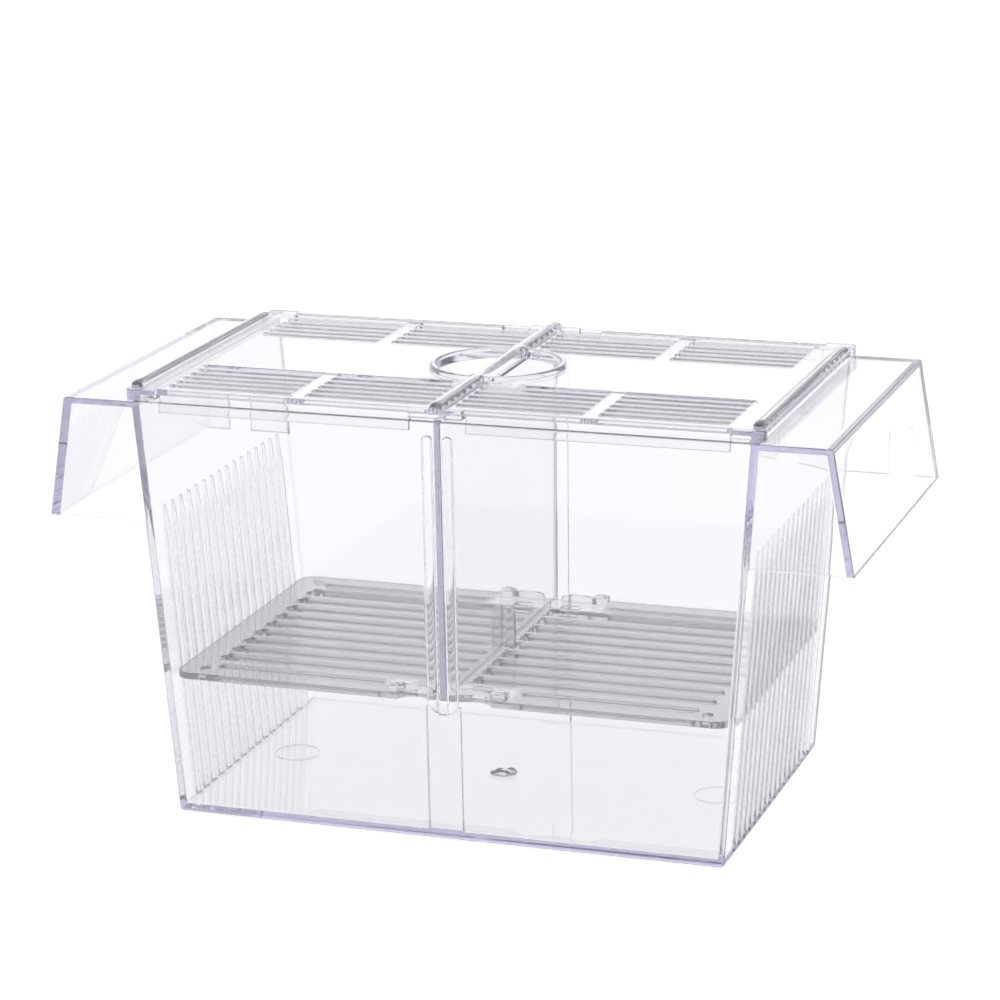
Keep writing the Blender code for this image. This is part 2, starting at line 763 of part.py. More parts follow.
def lid_slot_cutter(lid, underside, top, cutters):
    """Two groups of slots in each quarter of the lid, clear of the collar."""
    half_y = RIM_DEPTH / 2
    room = half_y - LID_SLOT_MARGIN - LID_SLOT_WIDTH / 2 - FEED_RADIUS
    rows = int(room / LID_SLOT_PITCH) + 1
    first = half_y - LID_SLOT_MARGIN
    length = (LID_LENGTH / 2 - LID_SLOT_END_MARGIN - LID_SLOT_START - LID_SLOT_BAR) / 2
    low = (LID_SLOT_START, first - LID_SLOT_WIDTH / 2, underside - OVERRUN)
    high = (LID_SLOT_START + length, first + LID_SLOT_WIDTH / 2, top + OVERRUN)
    slots = block("lid_slots", low, high, cutters)
    repeat(slots, 0, length + LID_SLOT_BAR, 2)
    repeat(slots, 1, -LID_SLOT_PITCH, rows)
    mirror(slots, "XY", lid)
    return slots


def build():
    clear_scene()
    parts = collection("breeding_box")
    cutters = collection("breeding_box_cutters")
    clear = plastic("clear_plastic", CLEAR_COLOUR)
    smoky = plastic("tray_plastic", TRAY_COLOUR)
    pieces = [
        (make_tank(parts, cutters), clear),
        (make_tray(parts, cutters), smoky),
        (make_divider(parts), clear),
        (make_lid(parts, cutters), clear),
    ]
    stand = bpy.data.objects.new("breeding_box_origin", None)
    parts.objects.link(stand)
    for piece, material in pieces:
        piece.parent = stand
        piece.data.materials.append(material)
        settle(piece)


build()
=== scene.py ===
"""Looks of a clear fish breeding box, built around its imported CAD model."""

import math

import bpy
import numpy as np
from mathutils import Matrix, Vector


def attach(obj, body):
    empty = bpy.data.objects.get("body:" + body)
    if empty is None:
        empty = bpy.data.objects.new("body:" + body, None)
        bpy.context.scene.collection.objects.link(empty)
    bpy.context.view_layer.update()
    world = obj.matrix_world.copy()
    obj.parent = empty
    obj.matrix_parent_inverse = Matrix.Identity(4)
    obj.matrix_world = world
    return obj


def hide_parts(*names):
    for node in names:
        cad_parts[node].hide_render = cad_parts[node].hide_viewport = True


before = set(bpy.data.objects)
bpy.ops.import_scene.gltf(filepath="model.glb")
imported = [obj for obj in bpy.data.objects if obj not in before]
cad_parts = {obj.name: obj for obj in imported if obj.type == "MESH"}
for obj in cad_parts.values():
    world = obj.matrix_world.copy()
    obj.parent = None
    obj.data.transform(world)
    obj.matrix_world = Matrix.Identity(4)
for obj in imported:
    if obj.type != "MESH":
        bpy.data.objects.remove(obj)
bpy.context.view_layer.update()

# Camera. It stands to the right of the box, in front of it and well above
# the lid, and is turned back to the left, a little down and a hair askew.

CAMERA_PLACE = (0.354516, -1.032270, 0.393233)
CAMERA_TURN = -0.330926
CAMERA_TILT = -0.267570
CAMERA_ROLL = -0.015170
FOCAL_SHARE = 3.55379
SENSOR_WIDTH = 36

sight = Vector(
    (
        math.sin(CAMERA_TURN) * math.cos(CAMERA_TILT),
        math.cos(CAMERA_TURN) * math.cos(CAMERA_TILT),
        math.sin(CAMERA_TILT),
    )
)
level_right = Vector((math.cos(CAMERA_TURN), -math.sin(CAMERA_TURN), 0))
level_up = level_right.cross(sight)
camera_right = math.cos(CAMERA_ROLL) * level_right + math.sin(CAMERA_ROLL) * level_up
camera_up = -math.sin(CAMERA_ROLL) * level_right + math.cos(CAMERA_ROLL) * level_up
camera_data = bpy.data.cameras.new("camera")
camera_data.sensor_width = SENSOR_WIDTH
camera_data.lens = SENSOR_WIDTH * FOCAL_SHARE
camera = bpy.data.objects.new("camera", camera_data)
bpy.context.scene.collection.objects.link(camera)
turn = Matrix((camera_right, camera_up, -sight)).transposed()
camera.matrix_world = Matrix.Translation(CAMERA_PLACE) @ turn.to_4x4()
bpy.context.scene.camera = camera
bpy.context.scene.view_settings.view_transform = "Standard"

# Light paths. Light runs far along inside clear walls, so that it is followed
# through many turns, or their edges would go black.

LIGHT_TURNS = 64

light_paths = bpy.context.scene.cycles
light_paths.max_bounces = LIGHT_TURNS
light_paths.glossy_bounces = LIGHT_TURNS
light_paths.transmission_bounces = LIGHT_TURNS

# Studio. A white sweep of paper runs flat under the box, with a thin gap of air,
# and rises behind it. The pale room round it looks white near the horizon, and
# two broad soft lamps light the box from the front left and the right.

PAPER_GAP = 0.0006
BOX_MIDDLE = (0, 0, 0.07)
WHITE_BELOW = 0.15
PALE_ABOVE = 0.40


def sweep_sheet(half_width, front, back, bend, height):
    """Paper carried along a floor, quarter circle and wall: x runs across it,
    and the second parameter is the length along that profile."""
    u = np.linspace(-1, 1, 3)
    angle = np.linspace(0, math.pi / 2, 17)
    y = np.concatenate(([front], back + bend * np.sin(angle), [back + bend]))
    z = np.concatenate(([0], bend * (1 - np.cos(angle)), [height])) - PAPER_GAP
    grid = np.stack(
        (
            np.outer(np.ones_like(y), u * half_width),
            np.outer(y, np.ones_like(u)),
            np.outer(z, np.ones_like(u)),
        ),
        axis=-1,
    )
    rows, columns = grid.shape[:2]
    index = np.arange(rows * columns).reshape(rows, columns)
    faces = np.stack(
        (index[:-1, :-1], index[:-1, 1:], index[1:, 1:], index[1:, :-1]), axis=-1
    ).reshape(-1, 4)
    mesh = bpy.data.meshes.new("paper_sweep")
    mesh.from_pydata(grid.reshape(-1, 3).tolist(), [], faces.tolist())
    mesh.shade_smooth()
    return mesh


def white_where_seen(nodes, links, strength_seen, strength_lit):
    """Light Path gives one strength to camera, glossy and transmitted rays and
    another to the light that falls on the object."""
    path = nodes.new("ShaderNodeLightPath")
    seen = nodes.new("ShaderNodeMath")
    seen.operation = "MAXIMUM"
    links.new(path.outputs["Is Camera Ray"], seen.inputs[0])
    links.new(path.outputs["Is Glossy Ray"], seen.inputs[1])
    also = nodes.new("ShaderNodeMath")
    also.operation = "MAXIMUM"
    links.new(seen.outputs[0], also.inputs[0])
    links.new(path.outputs["Is Transmission Ray"], also.inputs[1])
    strength = nodes.new("ShaderNodeMapRange")
    strength.inputs["To Min"].default_value = strength_lit
    strength.inputs["To Max"].default_value = strength_seen
    links.new(also.outputs[0], strength.inputs["Value"])
    return strength.outputs["Result"]


def paper_material():
    material = bpy.data.materials.new("studio_paper")
    material.use_nodes = True
    tree = material.node_tree
    shader = tree.nodes["Principled BSDF"]
    shader.inputs["Base Color"].default_value = (0.55, 0.55, 0.56, 1)
    shader.inputs["Roughness"].default_value = 0.9
    shader.inputs["Emission Color"].default_value = (1, 1, 1, 1)
    glow = white_where_seen(tree.nodes, tree.links, strength_seen=0.86, strength_lit=0.35)
    tree.links.new(glow, shader.inputs["Emission Strength"])
    return material


paper_mesh = sweep_sheet(half_width=6.0, front=-6.0, back=1.2, bend=0.5, height=3.0)
paper = bpy.data.objects.new("paper_sweep", paper_mesh)
paper.data.materials.append(paper_material())
bpy.context.scene.collection.objects.link(paper)

room = bpy.data.worlds.new("room")
bpy.context.scene.world = room
room.use_nodes = True
air, wires = room.node_tree.nodes, room.node_tree.links
room_air = air["Background"]
room_air.inputs["Color"].default_value = (0.78, 0.78, 0.88, 1)
room_air.inputs["Strength"].default_value = 0.36
far_wall = air.new("ShaderNodeBackground")
far_wall.inputs["Color"].default_value = (1, 1, 1, 1)
direction = air.new("ShaderNodeSeparateXYZ")
place_in_sky = air.new("ShaderNodeTexCoord")
wires.new(place_in_sky.outputs["Generated"], direction.inputs["Vector"])
near_horizon = air.new("ShaderNodeMapRange")
near_horizon.inputs["From Min"].default_value = PALE_ABOVE
near_horizon.inputs["From Max"].default_value = WHITE_BELOW
wires.new(direction.outputs["Z"], near_horizon.inputs["Value"])
whiteness = air.new("ShaderNodeMath")
whiteness.operation = "MULTIPLY"
seen_share = white_where_seen(air, wires, strength_seen=1.0, strength_lit=0.0)
wires.new(seen_share, whiteness.inputs[0])
wires.new(near_horizon.outputs["Result"], whiteness.inputs[1])
either = air.new("ShaderNodeMixShader")
wires.new(whiteness.outputs[0], either.inputs["Fac"])
wires.new(room_air.outputs["Background"], either.inputs[1])
wires.new(far_wall.outputs["Background"], either.inputs[2])
wires.new(either.outputs["Shader"], air["World Output"].inputs["Surface"])


def soft_lamp(name, place, size, power):
    """A broad rectangle of light, turned to the middle of the box."""
    lamp = bpy.data.lights.new(name, "AREA")
    lamp.shape = "RECTANGLE"
    lamp.size, lamp.size_y = size
    lamp.energy = power
    holder = bpy.data.objects.new(name, lamp)
    holder.location = place
    aim = Vector(BOX_MIDDLE) - Vector(place)
    holder.rotation_euler = aim.to_track_quat("-Z", "Y").to_euler()
    bpy.context.scene.collection.objects.link(holder)


soft_lamp("key_lamp", place=(-0.9, -0.8, 1.3), size=(1.2, 1.2), power=3)
soft_lamp("fill_lamp", place=(1.1, -0.6, 0.9), size=(0.6, 0.9), power=4)

# Clear polystyrene of the tank, divider and lid. It is injection moulded and
# polished: a lavender cast shows where light runs along inside a wall, and the
# melt leaves long shallow waves and a few duller patches in the polish.


def clear_plastic(name, colour, clearness, cast, density, roughness, wave):
    """Principled plastic with absorption inside. Two noises on Object coordinates:
    a broad stretched one tilts the surface and dims the colour by up to 1.5 per
    cent, a fine one clouds the polish to at most twice its roughness."""
    material = bpy.data.materials.new(name)
    material.use_nodes = True
    nodes, links = material.node_tree.nodes, material.node_tree.links
    shader = nodes["Principled BSDF"]
    shader.inputs["IOR"].default_value = 1.57
    shader.inputs["Transmission Weight"].default_value = clearness
    place = nodes.new("ShaderNodeTexCoord")

    flow = nodes.new("ShaderNodeMapping")
    flow.inputs["Scale"].default_value = (16, 20, 30)
    links.new(place.outputs["Object"], flow.inputs["Vector"])
    melt = nodes.new("ShaderNodeTexNoise")
    melt.inputs["Scale"].default_value = 1
    melt.inputs["Detail"].default_value = 2
    links.new(flow.outputs["Vector"], melt.inputs["Vector"])
    waves = nodes.new("ShaderNodeBump")
    waves.inputs["Strength"].default_value = wave
    waves.inputs["Distance"].default_value = 0.0006
    links.new(melt.outputs["Fac"], waves.inputs["Height"])
    links.new(waves.outputs["Normal"], shader.inputs["Normal"])

    cloud = nodes.new("ShaderNodeTexNoise")
    cloud.inputs["Scale"].default_value = 160
    cloud.inputs["Detail"].default_value = 4
    links.new(place.outputs["Object"], cloud.inputs["Vector"])
    polish = nodes.new("ShaderNodeMapRange")
    polish.inputs["From Min"].default_value = 0.35
    polish.inputs["From Max"].default_value = 0.75
    polish.inputs["To Min"].default_value = roughness
    polish.inputs["To Max"].default_value = roughness * 2
    links.new(cloud.outputs["Fac"], polish.inputs["Value"])
    links.new(polish.outputs["Result"], shader.inputs["Roughness"])

    tint = nodes.new("ShaderNodeMix")
    tint.data_type = "RGBA"
    tint.inputs["A"].default_value = colour
    tint.inputs["B"].default_value = [0.985 * share for share in colour[:3]] + [1]
    links.new(melt.outputs["Fac"], tint.inputs["Factor"])
    links.new(tint.outputs["Result"], shader.inputs["Base Color"])

    inside = nodes.new("ShaderNodeVolumeAbsorption")
    inside.inputs["Color"].default_value = cast
    inside.inputs["Density"].default_value = density
    links.new(inside.outputs["Volume"], nodes["Material Output"].inputs["Volume"])
    return material


clear = clear_plastic(
    "clear_polystyrene",
    colour=(0.98, 0.98, 0.988, 1),
    clearness=0.96,
    cast=(0.90, 0.88, 0.985, 1),
    density=24,
    roughness=0.008,
    wave=0.05,
)

# Tank. One moulding in clear polystyrene, its walls leaning in to leave the
# mould: pointed slots through each end wall, two guide ribs over a solid band
# in the front and rear walls, the gate's lens, a hollow float at each end.

TANK_HEIGHT = 0.134
END_LEAN = 0.0105
FRONT_LEAN = 0.002
FLOOR_TOP = 0.0025
TANK_INSIDE = (0.0978, 0.0578)
TANK_OUTSIDE = (0.1000, 0.0600)
RIB_FACE = 0.0562
RIB_SIDES = (0.00155, 0.00485)
RIB_TOP = 0.129
RIB_CROWN = 0.0009
BAND_FACE = 0.0557
BAND_SIDE = 0.0055
BAND_TOP = 0.043
BAND_DIP = 0.0402
BAND_SLOPE = ((0.0026, 0.0046), (BAND_DIP + 0.0004, BAND_TOP))
GATE_RADIUS = 0.0043039
GATE_FOOT = 0.0033
GATE_CURVE = ((0, 0.0018, 0.0030, GATE_RADIUS), (0.0009, 0.0008, 0.0003, -0.0003))
GATE_RING = 0.00265
GATE_SURROUND = (0.0055, 0.006)
SLOT_FOOT = 0.0016
SLOT_TAPER = 0.0855
SLOT_TIP = 0.0980
SLOT_HALF = 0.00155
SLOT_TIP_SHARE = 0.2
SLOT_COUNT = 16
SLOT_PITCH = 0.0062
SLOT_CENTRES = SLOT_PITCH * (np.arange(SLOT_COUNT) - (SLOT_COUNT - 1) / 2)
WING_FOOT = 0.0953
WING_ROOF = 0.1320
FLOAT_FLARE = 0.0065
FLOAT_SIDES = (0.1202, 0.12275)
NOTCH_SIDES = (0.11105, 0.11895)
NOTCH_TOP = 0.1113
NOTCH_RADIUS = 0.0018
# Painted shade: a darker base colour laid over the slotted end walls.
SLOTTED_PAINTED_SHADE = (0.86, 0.86, 0.88, 1)
# Distances from the middle at which a wall or a part of the float begins.
END_WALL_FROM = 0.09
FLOAT_ROOF_FROM = 0.105
FLOAT_PANEL_FROM = 0.12
FLOAT_RIM_FROM = 0.1225
FRONT_WALL_FROM = 0.053
# Where the edges of guide ribs, band, gate and slots lie.
GUIDE_ZONE = (0.006, RIB_FACE - 0.003)
RIB_BULGE = (0.0016, 0.0048)
RIB_ARCH_FROM = 0.127
BAND_EDGE_FROM = 0.0052
GATE_ZONE = 0.005
SLOT_ZONE = (0.004, 0.05)
# How close to a line counts as on it, and as beside it.
HAIR = 1e-6
NEAR = 1e-4
# Radii of the rounded edges.
SHARP_ROUND = 0.0001
SLOT_TIP_ROUND = 0.00012
GUIDE_ROUND = 0.0002
GATE_ROUND = 0.00025
SLOT_ROUND = 0.0003
WALL_ROUND = 0.0004
FLOAT_ROUND = 0.0007
CORNER_ROUND = 0.0008
END_FOOT_ROUND = 0.001
FOOT_ROUND = 0.0014


def mirrored(lines):
    """Grid lines on both sides of the middle, from those on one side."""
    lines = np.asarray(lines)
    return np.unique(np.round(np.concatenate((-lines, lines)), 7))


def moulded_cells(name, xs, ys, zs, plastic, place):
    """A solid on a grid of blocks. plastic(x, y, z) says for every block's middle
    whether it is filled, each face between a filled and an empty block is kept,
    and place(x, y, z) moves the corners to where the moulding has them."""
    middles = [(lines[:-1] + lines[1:]) / 2 for lines in (xs, ys, zs)]
    filled = np.pad(plastic(*np.meshgrid(*middles, indexing="ij")), 1)
    counts = [len(xs), len(ys), len(zs)]
    number = np.arange(counts[0] * counts[1] * counts[2]).reshape(counts)
    quads = []
    for axis in range(3):
        low = np.moveaxis(filled, axis, 0)[:-1, 1:-1, 1:-1]
        high = np.moveaxis(filled, axis, 0)[1:, 1:-1, 1:-1]
        corner = np.moveaxis(number, axis, 0)
        ring = np.stack(
            (corner[:, :-1, :-1], corner[:, 1:, :-1], corner[:, 1:, 1:], corner[:, :-1, 1:]),
            axis=-1,
        )
        if axis == 1:
            ring = ring[..., ::-1]
        quads.append(ring[low & ~high])
        quads.append(ring[high & ~low][:, ::-1])
    quads = np.concatenate(quads)
    used, quads = np.unique(quads, return_inverse=True)
    x, y, z = (part.ravel()[used] for part in np.meshgrid(xs, ys, zs, indexing="ij"))
    points = np.stack(place(x, y, z), axis=-1)
    mesh = bpy.data.meshes.new(name)
    mesh.from_pydata(points.tolist(), [], quads.reshape(-1, 4).tolist())
    mesh.shade_smooth()
    piece = bpy.data.objects.new(name, mesh)
    bpy.context.scene.collection.objects.link(piece)
    return piece


def rounded_edges(piece, radius_at, steps):
    """Edges that the mould's cutters leave round. An edge where two faces turn by
    more than 30 degrees is rounded by radius_at(x, y, z), read at its middle."""
    mesh = piece.data
    points = np.empty(3 * len(mesh.vertices))
    mesh.vertices.foreach_get("co", points)
    ends = np.empty(2 * len(mesh.edges), int)
    mesh.edges.foreach_get("vertices", ends)
    normals = np.empty(3 * len(mesh.polygons))
    mesh.polygons.foreach_get("normal", normals)
    edge_of_corner = np.empty(len(mesh.loops), int)
    mesh.loops.foreach_get("edge_index", edge_of_corner)
    meeting = (np.argsort(edge_of_corner, kind="stable") // 4).reshape(-1, 2)
    normals = normals.reshape(-1, 3)[meeting]
    turned = (normals[:, 0] * normals[:, 1]).sum(axis=1) < math.cos(math.radians(30))
    middle = points.reshape(-1, 3)[ends.reshape(-1, 2)].mean(axis=1)
    radius = np.where(turned, radius_at(*middle.T), 0)
    weight = mesh.attributes.new("bevel_weight_edge", "FLOAT", "EDGE")
    weight.data.foreach_set("value", radius / radius.max())
    bevel = piece.modifiers.new("moulded_edges", "BEVEL")
    bevel.width = radius.max()
    bevel.segments = steps
    bevel.limit_method = "WEIGHT"
    bevel.use_clamp_overlap = False
    flats = piece.modifiers.new("flat_faces", "WEIGHTED_NORMAL")
    flats.weight = 100


def drawn_round(x, y, centre, radius, reach):
    """Squares about a centre drawn in to circles: a point whose larger offset is c
    goes to radius c at the circle, and less and less inside it and past it."""
    dx, dy = x - centre[0], y - centre[1]
    c = np.maximum(np.abs(dx), np.abs(dy))
    share = np.interp(c, (radius[0] / 2, radius[0], radius[1], reach), (0, 1, 1, 0))
    scale = 1 + share * (c / np.maximum(np.hypot(dx, dy), 1e-9) - 1)
    return centre[0] + dx * scale, centre[1] + dy * scale


def fall(z):
    """Share of the walls' lean at height z: 0 at the rim, 1 under the floor."""
    return (TANK_HEIGHT - z) / TANK_HEIGHT


def tank_plastic(x, y, z):
    """Box less its cavity and slots, with guide ribs, band and gate inside it, and
    a wing beyond each end less the float's hollow and its rear notch."""
    ax, ay = np.abs(x), np.abs(y)
    in_body = (ax < TANK_OUTSIDE[0]) & (ay < TANK_OUTSIDE[1])
    in_cavity = (ax < TANK_INSIDE[0]) & (ay < TANK_INSIDE[1]) & (z > FLOOR_TOP)
    off_centre = np.abs(y - SLOT_CENTRES[:, None, None, None]).min(axis=0)
    slots = (off_centre < SLOT_HALF) & (ax > TANK_INSIDE[0]) & (ax < TANK_OUTSIDE[0])
    slots = slots & (z > SLOT_FOOT) & (z < SLOT_TIP)
    guides = (ay > RIB_FACE) & (ax > RIB_SIDES[0]) & (ax < RIB_SIDES[1]) & (z < RIB_TOP)
    band = (ay > BAND_FACE) & (ax < BAND_SIDE) & (z < BAND_TOP)
    dip = (ax < RIB_SIDES[0]) & (z > BAND_DIP) & (ay < TANK_INSIDE[1]) & (z < BAND_TOP)
    gate = (ax < GATE_RADIUS) & (ay < GATE_RADIUS) & (z < GATE_FOOT)
    body = in_body & ~in_cavity & ~slots
    body = body | (in_body & (((guides | band) & ~dip) | gate))
    wing = (ax > TANK_OUTSIDE[0]) & (z > WING_FOOT)
    hollow = (ax < FLOAT_SIDES[0]) & (ay < TANK_INSIDE[1]) & (z < WING_ROOF)
    notch = (ax > NOTCH_SIDES[0]) & (ax < NOTCH_SIDES[1])
    notch = notch & (y > TANK_INSIDE[1]) & (z < NOTCH_TOP)
    return body | (wing & ~hollow & ~notch)


def tank_place(x, y, z):
    """End walls and floats lean by their share of the height, front and rear walls
    too. Slot sides close in to a point, rib tops, notch tops and gate turn round,
    rib faces bulge as half ovals and the band's top slopes into a dip between them."""
    ax, ay = np.abs(x), np.abs(y)
    nearest = SLOT_CENTRES[np.abs(y - SLOT_CENTRES[:, None]).argmin(axis=0)]
    on_slot = (np.abs(y - nearest) < SLOT_HALF + HAIR) & (z > SLOT_TAPER) & (z <= SLOT_TIP)
    on_slot = on_slot & (ax > TANK_INSIDE[0] - HAIR) & (ax < TANK_OUTSIDE[0] + HAIR)
    open_share = np.interp(z, (SLOT_TAPER, SLOT_TIP), (1, SLOT_TIP_SHARE))
    y = np.where(on_slot, nearest + (y - nearest) * open_share, y)
    rib_radius = (RIB_SIDES[1] - RIB_SIDES[0]) / 2
    d = ax - sum(RIB_SIDES) / 2
    by_rib = np.abs(d) < rib_radius + HAIR
    on_rib = by_rib & np.isclose(z, RIB_TOP) & (ay > RIB_FACE - HAIR)
    arch = rib_radius - np.sqrt(np.maximum(rib_radius**2 - d**2, 0))
    lens = np.interp(np.maximum(ax, ay), *GATE_CURVE)
    on_gate = (np.maximum(ax, ay) < GATE_RADIUS + HAIR) & np.isclose(z, GATE_FOOT)
    centre = NOTCH_SIDES[0] + NOTCH_RADIUS, NOTCH_SIDES[1] - NOTCH_RADIUS
    side = np.maximum(centre[0] - ax, ax - centre[1])
    on_notch = (side > 0) & (side < NOTCH_RADIUS + HAIR) & np.isclose(z, NOTCH_TOP)
    on_notch = on_notch & (y > RIB_FACE)
    side = np.maximum(side, 0)
    turn_down = NOTCH_RADIUS - np.sqrt(np.maximum(NOTCH_RADIUS**2 - side**2, 0))
    on_band = (ax < BAND_SIDE) & (ay > BAND_FACE - HAIR) & (ay < RIB_FACE + HAIR)
    on_band = on_band & np.isclose(z, BAND_TOP)
    z = np.where(on_band, np.interp(ax, *BAND_SLOPE), z)
    on_face = by_rib & np.isclose(ay, RIB_FACE) & (z > BAND_DIP)
    crown = RIB_CROWN * (1 - np.sqrt(np.maximum(1 - (d / rib_radius) ** 2, 0)))
    ay = np.where(on_face, ay + crown, ay)
    z = z - np.where(on_rib, arch, 0) + np.where(on_gate, lens, 0)
    z = z - np.where(on_notch, turn_down, 0)
    near_gate = (np.maximum(ax, ay) < GATE_SURROUND[0]) & (z < GATE_SURROUND[1])
    round_x, round_y = drawn_round(x, y, (0, 0), (GATE_RADIUS, GATE_RADIUS), GATE_SURROUND[0])
    x, y = np.where(near_gate, round_x, x), np.where(near_gate, round_y, y)
    flare = FLOAT_FLARE * (TANK_HEIGHT - z) / (TANK_HEIGHT - WING_FOOT)
    shift = np.where(ax > FLOAT_ROOF_FROM, 0, -END_LEAN * fall(z))
    shift = np.where(ax > FLOAT_PANEL_FROM, flare, shift)
    x = np.where(ax > END_WALL_FROM, np.sign(x) * (ax + shift), x)
    y = np.where(ay > FRONT_WALL_FROM, np.sign(y) * (ay - FRONT_LEAN * fall(z)), y)
    return x, y, z


def pin_marked(plastic, centre, radius):
    """The plastic with a faint raised ring on the floor each side of the middle,
    where ejector pins pushed the tank out: height peaks at the ring's radius."""
    material = plastic.copy()
    material.name = "clear_polystyrene_tank"
    nodes, links = material.node_tree.nodes, material.node_tree.links
    waves = nodes["Bump"]
    place = nodes.new("ShaderNodeTexCoord")
    sides = nodes.new("ShaderNodeVectorMath")
    sides.operation = "ABSOLUTE"
    links.new(place.outputs["Object"], sides.inputs[0])
    flat = nodes.new("ShaderNodeVectorMath")
    flat.operation = "MULTIPLY"
    flat.inputs[1].default_value = (1, 1, 0)
    links.new(sides.outputs["Vector"], flat.inputs[0])
    away = nodes.new("ShaderNodeVectorMath")
    away.operation = "DISTANCE"
    away.inputs[1].default_value = (centre[0], centre[1], 0)
    links.new(flat.outputs["Vector"], away.inputs[0])
    off_ring = nodes.new("ShaderNodeMath")
    off_ring.operation = "SUBTRACT"
    off_ring.inputs[1].default_value = radius
    links.new(away.outputs["Value"], off_ring.inputs[0])
    gap = nodes.new("ShaderNodeMath")
    gap.operation = "ABSOLUTE"
    links.new(off_ring.outputs[0], gap.inputs[0])
    rise = nodes.new("ShaderNodeMapRange")
    rise.interpolation_type = "SMOOTHSTEP"
    rise.inputs["From Max"].default_value = 0.0004
    rise.inputs["To Min"].default_value = 1
    rise.inputs["To Max"].default_value = 0
    links.new(gap.outputs[0], rise.inputs["Value"])
    ring = nodes.new("ShaderNodeBump")
    ring.inputs["Strength"].default_value = 0.35
    ring.inputs["Distance"].default_value = 0.00008
    links.new(rise.outputs["Result"], ring.inputs["Height"])
    links.new(ring.outputs["Normal"], waves.inputs["Normal"])
    return material


def painted_shade_where(plastic, shade, *zones):
    """The plastic with painted shade, a darker base colour over its slots and bars. A
    zone is a product of ramps along Object x, y or z, taken without sign, each from
    none to full, and the largest of the zones counts."""
    nodes, links = plastic.node_tree.nodes, plastic.node_tree.links

    def combined(operation, first, second):
        join = nodes.new("ShaderNodeMath")
        join.operation = operation
        links.new(first, join.inputs[0])
        links.new(second, join.inputs[1])
        return join.outputs[0]

    place = nodes.new("ShaderNodeTexCoord")
    sides = nodes.new("ShaderNodeVectorMath")
    sides.operation = "ABSOLUTE"
    links.new(place.outputs["Object"], sides.inputs[0])
    parts = nodes.new("ShaderNodeSeparateXYZ")
    links.new(sides.outputs["Vector"], parts.inputs[0])
    painted_shade_share = None
    for zone in zones:
        share = None
        for axis, none_at, full_at in zone:
            ramp = nodes.new("ShaderNodeMapRange")
            ramp.inputs["From Min"].default_value = none_at
            ramp.inputs["From Max"].default_value = full_at
            links.new(parts.outputs[axis], ramp.inputs["Value"])
            side = ramp.outputs["Result"]
            share = side if share is None else combined("MULTIPLY", share, side)
        painted_shade_share = share if painted_shade_share is None else combined("MAXIMUM", painted_shade_share, share)
    # Painted shade: inside the zones the base colour is mixed towards the darker shade.
    painted_shade_mix = nodes.new("ShaderNodeMix")
    painted_shade_mix.data_type = "RGBA"
    painted_shade_mix.inputs["B"].default_value = shade
    links.new(painted_shade_share, painted_shade_mix.inputs["Factor"])
    links.new(nodes["Mix"].outputs["Result"], painted_shade_mix.inputs["A"])
    links.new(painted_shade_mix.outputs["Result"], nodes["Principled BSDF"].inputs["Base Color"])
    return plastic


def tank_radius(x, y, z):
    """Walls and slots are hardly rounded, the guide ribs less still and not at all
    along their bulging faces. The float's rim, the four upright corners and the
    edges under the floor are rounded most."""
    ax, ay = np.abs(x), np.abs(y)
    outer_x = TANK_OUTSIDE[0] - END_LEAN * fall(z)
    outer_y = TANK_OUTSIDE[1] - FRONT_LEAN * fall(z)
    inner_y = TANK_INSIDE[1] - FRONT_LEAN * fall(z)
    radius = np.full(x.shape, WALL_ROUND)
    by_guides = (ax < GUIDE_ZONE[0]) & (ay > GUIDE_ZONE[1])
    radius[by_guides] = GUIDE_ROUND
    radius[by_guides & (z > RIB_ARCH_FROM)] = SHARP_ROUND
    radius[by_guides & (ay > inner_y - NEAR)] = WALL_ROUND
    radius[by_guides & (z < BAND_TOP + NEAR)] = SHARP_ROUND
    radius[by_guides & (ax > BAND_EDGE_FROM) & (z < BAND_TOP - NEAR)] = WALL_ROUND
    rib_faces = by_guides & (ax > RIB_BULGE[0]) & (ax < RIB_BULGE[1])
    radius[rib_faces & (z > BAND_TOP + NEAR) & (z < RIB_ARCH_FROM)] = 0
    radius[np.maximum(ax, ay) < GATE_ZONE] = GATE_ROUND
    by_slots = (ax > outer_x - SLOT_ZONE[0]) & (ax < outer_x + NEAR)
    by_slots = by_slots & (ay < SLOT_ZONE[1]) & (z < SLOT_TIP + NEAR)
    radius[by_slots] = SLOT_ROUND
    radius[by_slots & (z > WING_FOOT + NEAR)] = SLOT_TIP_ROUND
    upright = (ay > outer_y - NEAR) & (ax > outer_x - NEAR) & (z < WING_FOOT + NEAR)
    radius[upright] = CORNER_ROUND
    radius[(ax > FLOAT_RIM_FROM) & (z > WING_ROOF)] = FLOAT_ROUND
    radius[z < NEAR] = FOOT_ROUND
    radius[(z < NEAR) & (ay < SLOT_ZONE[1])] = END_FOOT_ROUND
    return radius


